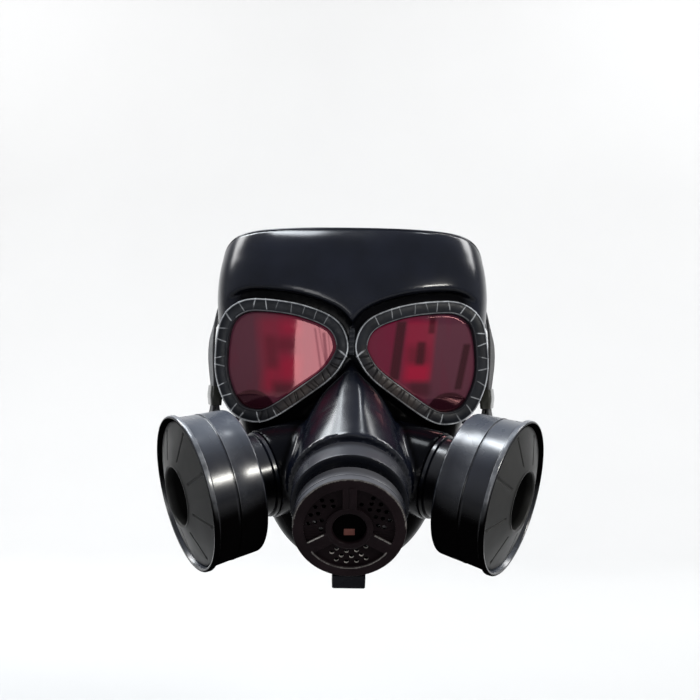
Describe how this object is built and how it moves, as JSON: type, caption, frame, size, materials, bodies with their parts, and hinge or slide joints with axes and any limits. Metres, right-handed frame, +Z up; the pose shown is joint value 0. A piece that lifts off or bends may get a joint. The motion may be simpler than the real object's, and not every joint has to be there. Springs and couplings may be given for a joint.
{
  "type": "gas mask style costume mask",
  "caption": "Full-face moulded costume mask with red goggles, a stepped snout with a perforated disc, drum filters on the cheeks and an elastic head strap.",
  "frame": {"origin": "the seat on the bridge of the nose, inside the shell", "axes": "+X to the right as seen from the front, +Y towards the back of the head, +Z up"},
  "size_m": [0.253, 0.2998, 0.2262],
  "materials": {
    "shell_plastic": "semi-gloss black moulded plastic",
    "rim_rubber": "matt dark grey stitched band with a bright bead",
    "lens_red": "dark red mirror tinted lens",
    "valve_plastic": "satin dark grey moulded plastic",
    "drum_plastic": "semi-gloss black moulded plastic",
    "cover_plastic": "satin dark grey moulded plastic",
    "slider_plastic": "matt olive grey moulded plastic",
    "strap_webbing": "black woven elastic"
  },
  "bodies": {
    "root": {"face_shell": "shell_plastic", "goggle_rim_left": "rim_rubber", "goggle_rim_right": "rim_rubber", "lens_left": "lens_red", "lens_right": "lens_red", "bridge_strip": "rim_rubber", "valve_cover": "valve_plastic", "canister_body_left": "drum_plastic", "canister_body_right": "drum_plastic", "canister_cover_left": "cover_plastic", "canister_cover_right": "cover_plastic", "neck_collar_left": "drum_plastic", "neck_collar_right": "drum_plastic", "strap_slider_left": "slider_plastic", "strap_slider_right": "slider_plastic", "head_strap": "strap_webbing"}
  },
  "joints": []
}
